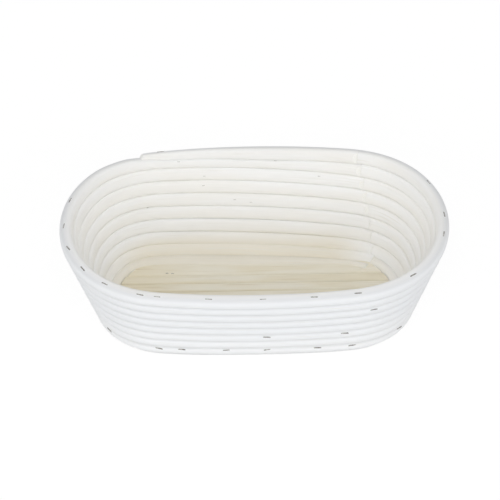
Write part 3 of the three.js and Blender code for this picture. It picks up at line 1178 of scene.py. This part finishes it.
@dataclass(frozen=True)
class Staples:
    """Wire staples: a rounded U each, pressed into the canes so that only its crown shows.

    Attributes:
        crown: Width over the crown.
        wire: Thickness of the wire.
        bend: Radius of a bend.
        length: Length of the legs over all.
        floor_length: The same for the staples between the floor canes.
        proud: How far a crown stands out of its cane.
        most_askew: Largest angle by which a crown is turned from its cane's line.
        askew_change: How fast that angle changes from place to place.
        seat_elevation: Where on the outer face of a cane a slanted staple sits.
        floor_offset: Place of the floor staples, from the middle of a cane.
        floor_level: Height of the floor staples.
        tail_setback: Distance of the tapered end's staple from its tip.
        rim_sunk: How much deeper than usual each staple of the rim is driven.
        foot_sunk: The same for the staples low on the wall.
        wall_sunk: The same for the staples higher up.
        tips: Course, degrees up from its inside, and bearing in degrees of each bent tip on the wall.
        floor_tips: Places of the bent tips on the floor.
    """

    coil: WallCoil
    floor: FloorCanes
    finish: Material
    crown: float = 5.8
    wire: float = 0.85
    wire_sides: int = 12
    bend: float = 0.8
    bend_steps: int = 5
    length: float = 12.9
    floor_length: float = 10.5
    proud: float = 0.3
    most_askew: float = radians(16)
    askew_change: float = 0.37
    seat_elevation: float = radians(22)
    floor_offset: float = 45.0
    floor_level: float = 3.075
    tail_setback: float = 14.0
    rim_left: tuple[float, ...] = (-19.6, 0.9, 18.6, 36.3, 52.5, 72.6, 81.5)
    rim_front: tuple[float, ...] = (-0.49, 0.07, 0.6)
    rim_right: tuple[float, ...] = (79.9, 48.2, 12.2, -3.3, -30.1)
    rim_sunk: tuple[float, ...] = (
        0.08, 0.14, 0.0, 0.1, 0.18, 0.08, 0.2, 0.14, 0.21, 0.14, 0.08, 0.0, 0.03, 0.03, 0.12
    )
    foot_left: tuple[float, ...] = (38.2, 78.1)
    foot_front: tuple[float, ...] = (-0.82, -0.33, 0.12, 0.67)
    foot_right: tuple[float, ...] = (79.3, 42.0)
    foot_sunk: tuple[float, ...] = (0.12, 0.05, 0.05, 0.18, 0.22, 0.08, 0.08, 0.24)
    high_right: tuple[float, ...] = (70.5,)
    low_front: tuple[float, ...] = (0.11, 0.95)
    high_course: int = 2
    low_course: int = 5
    wall_sunk: float = 0.17
    tip_length: float = 1.7
    tip_width: float = 0.24
    tip_sides: int = 10
    tips: tuple[tuple[int, float, float], ...] = (
        (4, 80, 341.8),
        (3, -50, 341.8),
        (3, 10, 358.5),
        (3, -10, 359.8),
        (1, -10, 356.1),
        (2, 20, 356.0),
        (0, 30, 361.8),
        (0, 10, 354.1),
        (1, 30, 365.3),
        (3, 70, 362.0),
    )
    floor_tip_width: float = 0.5
    floor_tips: tuple[tuple[float, float], ...] = ((-57.5, 24.3), (-53.8, 24.0))

    def bearings(
        self, left: tuple[float, ...], front: tuple[float, ...], right: tuple[float, ...]
    ) -> list[float]:
        """Lists staple bearings.

        Args:
            left: Degrees from the middle of the left end towards the front.
            front: Shares of the way from the middle of the front to the curve of the right end.
            right: Degrees from the middle of the right end towards the front.

        Returns:
            The bearings, from the left end over the front to the right end.
        """
        return [
            *(radians(270 - angle) for angle in left),
            *(pi - share * self.coil.plan.side_angle for share in front),
            *(radians(90 + angle) for angle in right),
        ]

    def build(self) -> None:
        """Makes every staple."""
        coil = self.coil
        rim = self.bearings(self.rim_left, self.rim_front, self.rim_right)
        for index, (bearing, sunk) in enumerate(zip(rim, self.rim_sunk), 1):
            self.crown_staple(f"rim_staple_{index}", coil.course_section(0, bearing), bearing, sunk)
        seam = coil.plan.distance(TURN + coil.seam_bearing)
        bearing = coil.plan.bearing(seam - coil.tail_length + self.tail_setback)
        self.crown_staple("tail_staple", coil.tail_section(bearing), bearing, 0.0)
        foot = self.bearings(self.foot_left, self.foot_front, self.foot_right)
        for index, (bearing, sunk) in enumerate(zip(foot, self.foot_sunk), 1):
            self.slanted_staple(f"foot_staple_{index}", coil.foot_level - 1, bearing, sunk)
        high = [(self.high_course, bearing) for bearing in self.bearings((), (), self.high_right)]
        low = [(self.low_course, bearing) for bearing in self.bearings((), self.low_front, ())]
        for index, (course, bearing) in enumerate(high + low, 1):
            self.slanted_staple(f"wall_staple_{index}", course, bearing, self.wall_sunk)
        self.floor_staples()
        self.bent_tips()

    def crown_staple(self, node: str, section: Section, bearing: float, sunk: float) -> None:
        """Drives a staple down through the top of a cane.

        Args:
            node: Solid of the staple.
            section: Section of the cane.
            bearing: Bearing of the staple.
            sunk: How much deeper than usual it is driven.
        """
        seat = section.centre + section.up * section.half_up
        self.drive(node, seat, self.coil.plan.clockwise(bearing), section.up, self.length, -sunk)

    def slanted_staple(self, node: str, course: int, bearing: float, sunk: float) -> None:
        """Drives a staple through the outside of a course into the one below it.

        Args:
            node: Solid of the staple.
            course: The upper course.
            bearing: Bearing of the staple.
            sunk: How much deeper than usual it is driven.
        """
        coil = self.coil
        upper = coil.course_section(course, bearing)
        on_foot = course + 1 == coil.foot_level
        lower = (coil.foot_section(bearing) if on_foot else coil.course_section(course + 1, bearing)).centre
        face = coil.plan.outward(bearing) * cos(self.seat_elevation) + UP * sin(self.seat_elevation)
        seat = upper.surface(face)
        self.drive(node, seat, coil.plan.clockwise(bearing), (seat - lower).normalized(), self.length, -sunk)

    def floor_staples(self) -> None:
        """Drives the staples between the floor canes, and those through the foot into the middle ones."""
        middle = (self.floor.canes + 1) // 2
        half_width = (self.floor.pitch - self.floor.joint) / 2
        for joint in range(1, self.floor.canes):
            to_back = -1 if joint < middle else 1
            host = joint + 1 if joint < middle else joint
            offset = -self.floor_offset if joint % 2 else self.floor_offset
            seat = Vector((offset, self.floor.middle(host) - to_back * half_width, self.floor_level))
            self.drive(f"base_staple_{joint}", seat, RIGHT, BACK * -to_back, self.floor_length, -self.proud)
        for side, end in (("left", -1), ("right", 1)):
            axis = self.coil.plan.point(end * pi / 2, self.coil.profile.inset(self.coil.foot_level))
            for index in (middle, middle + 1):
                seat = Vector((axis.x + end * self.coil.radius, self.floor.middle(index), self.floor_level))
                self.drive(f"{side}_end_staple_{index}", seat, BACK, RIGHT * end, self.length)

    def bent_tips(self) -> None:
        """Lays the bent tips of a few legs on the inside of the wall and on the floor."""
        bm = bmesh.new()
        for course, turned, degrees in self.tips:
            bearing = radians(degrees)
            section = self.coil.course_section(course, bearing)
            turn = radians(turned)
            seat = section.surface(section.up * sin(turn) - section.out * cos(turn))
            self.lay_tip(bm, seat, self.coil.plan.clockwise(bearing), self.tip_width)
        for along, across in self.floor_tips:
            self.lay_tip(bm, Vector((along, across, self.floor.height)), RIGHT, self.floor_tip_width)
        bmesh.ops.scale(bm, vec=(MM, MM, MM), verts=bm.verts)
        enter(finished_piece("wire_bent_tips", bm, [self.finish]), Slot.STAPLE_WIRE)

    def lay_tip(self, bm: BMesh, seat: Vector, along: Vector, width: float) -> None:
        """Lays one bent tip on a cane.

        Args:
            bm: Mesh that takes it.
            seat: Point of the cane's surface.
            along: Direction of the tip.
            width: Width of its thicker end.
        """
        place = Matrix.Translation(seat) @ along.to_track_quat("Z", "Y").to_matrix().to_4x4()
        bmesh.ops.create_cone(
            bm,
            cap_ends=True,
            segments=self.tip_sides,
            radius1=width / 2,
            radius2=width / 4,
            depth=self.tip_length,
            matrix=place,
        )

    def drive(
        self, node: str, seat: Vector, along: Vector, away: Vector, length: float, lift: float = 0.0
    ) -> None:
        """Makes a staple and puts it in its place.

        Args:
            node: Solid of the staple.
            seat: Point of the cane's surface under the middle of the crown.
            along: Direction of the crown.
            away: Direction out of the cane.
            length: Length of the legs over all.
            lift: How much further than usual the crown stands out.
        """
        bm = self.bent_wire(length)
        askew = self.most_askew * noise.noise(seat * self.askew_change)
        along = along * cos(askew) + away.cross(along) * sin(askew)
        turned = Matrix((along, away.cross(along), away)).transposed().to_4x4()
        place = Matrix.Translation(seat + away * (self.proud + lift)) @ turned
        bmesh.ops.transform(bm, matrix=place, verts=bm.verts)
        bmesh.ops.scale(bm, vec=(MM, MM, MM), verts=bm.verts)
        enter(finished_piece(f"wire_{node}", bm, [self.finish]), Slot.STAPLE_WIRE, node)

    def bent_wire(self, length: float) -> BMesh:
        """Bends a straight wire into a staple, crown up, with the crown's top at the origin.

        Args:
            length: Length of the legs over all.

        Returns:
            The mesh, in millimetres.
        """
        bm = bmesh.new()
        half = self.wire / 2
        axis = self.crown / 2 - half
        hinge = axis - self.bend
        shoulder = half + self.bend
        start = Matrix.Translation((-axis, 0, -length))
        bmesh.ops.create_circle(bm, segments=self.wire_sides, radius=half, matrix=start)
        ring = list(bm.edges)
        leg = UP * (length - shoulder)
        for way, centre in ((leg, -hinge), (RIGHT * (2 * hinge), hinge), (-leg, None)):
            drawn = bmesh.ops.extrude_edge_only(bm, edges=ring)["geom"]
            bmesh.ops.translate(bm, vec=way, verts=[part for part in drawn if isinstance(part, BMVert)])
            ring = [part for part in drawn if isinstance(part, BMEdge)]
            if centre is not None:
                spun = bmesh.ops.spin(
                    bm, geom=ring, cent=(centre, 0, -shoulder), axis=BACK, angle=pi / 2, steps=self.bend_steps
                )
                ring = [part for part in spun["geom_last"] if isinstance(part, BMEdge)]
        bmesh.ops.holes_fill(bm, edges=[edge for edge in bm.edges if edge.is_boundary], sides=0)
        bmesh.ops.remove_doubles(bm, verts=bm.verts, dist=MERGE_DISTANCE)
        bmesh.ops.recalc_face_normals(bm, faces=bm.faces)
        return bm


@dataclass(frozen=True)
class Studio:
    """White sweep, soft light and the camera at the picture's angle. Sizes in metres.

    Attributes:
        elevation: Angle of the camera above the floor.
        yaw: Angle by which it stands aside of the front.
        roll: Angle by which it is tilted.
        distance: Its distance from the point it looks at.
        aim_right: How far right of the target that point lies.
        aim_up: How far above it.
        sky: Strength of the even light.
        lamps: Name, degrees right of the front, degrees above the floor and watts of each lamp.
        floor_drop: How far the floor lies below the basket.
        floor_white: Share of plain white in what the camera sees of the floor.
        floor_glow: Strength of that white.
    """

    elevation: float = radians(42)
    yaw: float = radians(-0.406)
    roll: float = radians(-0.68)
    distance: float = 2.5
    lens: float = 278.2
    sensor: float = 36.0
    target: tuple[float, float, float] = (0.0, 0.0, 0.0387)
    aim_right: float = -0.0030
    aim_up: float = 0.007078
    sky: float = 0.53
    lamps: tuple[tuple[str, float, float, float], ...] = (
        ("left_softbox", -50, 20, 23.5),
        ("right_softbox", 50, 20, 21.0),
        ("front_softbox", 0, 28, 10.5),
        ("high_softbox", 0, 52, 28.0),
    )
    lamp_distance: float = 4.0
    lamp_size: float = 1.8
    floor_size: float = 8.0
    floor_drop: float = 0.0003
    floor_white: float = 0.85
    floor_glow: float = 1.06
    floor_colour: str = "#F4F4F3"

    def build(self) -> None:
        """Sets up the camera, the floor, the lamps and the world."""
        bpy.context.scene.view_settings.view_transform = "Standard"
        self.add_camera()
        self.add_floor()
        self.light_world()
        for lamp in self.lamps:
            self.add_lamp(*lamp)

    def direction(self, aside: float, raised: float) -> Vector:
        """Direction from the basket, by the angles right of the front and above the floor."""
        level = RIGHT * sin(aside) - BACK * cos(aside)
        return level * cos(raised) + UP * sin(raised)

    def add_camera(self) -> None:
        """Places the camera so that the basket fills the picture as in the photograph."""
        away = self.direction(self.yaw, self.elevation)
        right = (-away).cross(UP).normalized()
        above = right.cross(-away)
        aim = Vector(self.target) + right * self.aim_right + above * self.aim_up
        rolled_right = right * cos(self.roll) + above * sin(self.roll)
        rolled_up = above * cos(self.roll) - right * sin(self.roll)
        data = bpy.data.cameras.new("picture_camera")
        data.lens = self.lens
        data.sensor_width = self.sensor
        camera = bpy.data.objects.new("picture_camera", data)
        turned = Matrix((rolled_right, rolled_up, away)).transposed().to_4x4()
        camera.matrix_world = Matrix.Translation(aim + away * self.distance) @ turned
        bpy.context.scene.collection.objects.link(camera)
        bpy.context.scene.camera = camera

    def background_rays(self, tree: NodeTree) -> NodeSocket:
        """Finds the rays that see the background directly, in a reflection or through a piece.

        Args:
            tree: Node tree of the floor or the world.

        Returns:
            The socket that is one for those rays.
        """
        path = add_node(tree, "LightPath", {}).outputs
        seen = path["Is Camera Ray"]
        for kind in ("Is Glossy Ray", "Is Transmission Ray"):
            seen = add_node(tree, "Math", {0: seen, 1: path[kind]}, operation="MAXIMUM").outputs["Value"]
        return seen

    def add_floor(self) -> None:
        """Lays a wide pale floor that looks white and keeps a soft shadow."""
        bm = bmesh.new()
        lowered = Matrix.Translation((0, 0, -self.floor_drop))
        bmesh.ops.create_grid(bm, x_segments=1, y_segments=1, size=self.floor_size / 2, matrix=lowered)
        material = bpy.data.materials.new("matt_white_floor")
        tree = empty_tree(material)
        matt = add_node(tree, "BsdfDiffuse", {"Color": linear(self.floor_colour)}).outputs["BSDF"]
        white = add_node(tree, "Emission", {"Strength": self.floor_glow}).outputs["Emission"]
        rays = {0: self.background_rays(tree), 1: self.floor_white}
        share = add_node(tree, "Math", rays, operation="MULTIPLY").outputs["Value"]
        mixed = add_node(tree, "MixShader", {0: share, 1: matt, 2: white})
        add_node(tree, "OutputMaterial", {"Surface": mixed.outputs["Shader"]})
        finished_piece("studio_floor", bm, [material])

    def light_world(self) -> None:
        """Makes the world a soft even light that shows as white."""
        world = bpy.data.worlds.new("studio_world")
        tree = empty_tree(world)
        soft, white = (
            add_node(tree, "Background", {"Color": (1, 1, 1, 1), "Strength": strength}).outputs["Background"]
            for strength in (self.sky, 1.0)
        )
        mixed = add_node(tree, "MixShader", {0: self.background_rays(tree), 1: soft, 2: white})
        add_node(tree, "OutputWorld", {"Surface": mixed.outputs["Shader"]})
        bpy.context.scene.world = world

    def add_lamp(self, name: str, aside: float, raised: float, power: float) -> None:
        """Sets up a square soft lamp that faces the basket.

        Args:
            name: Name of the lamp.
            aside: Degrees that it stands to the right of the front.
            raised: Degrees that it stands above the floor.
            power: Its power in watts.
        """
        data = bpy.data.lights.new(name, "AREA")
        data.size = self.lamp_size
        data.energy = power
        away = self.direction(radians(aside), radians(raised))
        lamp = bpy.data.objects.new(name, data)
        lamp.location = Vector(self.target) + away * self.lamp_distance
        lamp.rotation_euler = away.to_track_quat("Z", "Y").to_euler()
        bpy.context.scene.collection.objects.link(lamp)


def main() -> None:
    """Builds the studio and the basket."""
    logging.basicConfig(level=logging.INFO, format="%(message)s")
    Studio().build()
    sawn = CutCaneFinish().material()
    coil = WallCoil(CaneMaker(BLEACHED_CANE.material(), sawn), CaneMaker(FOOT_CANE.material(), sawn))
    coil.build()
    floor = FloorCanes(CaneMaker(FLOOR_CANE.material(), sawn, lowest=0.05), coil)
    floor.build()
    Staples(coil, floor, StapleWireFinish().material()).build()


if __name__ == "__main__":
    main()
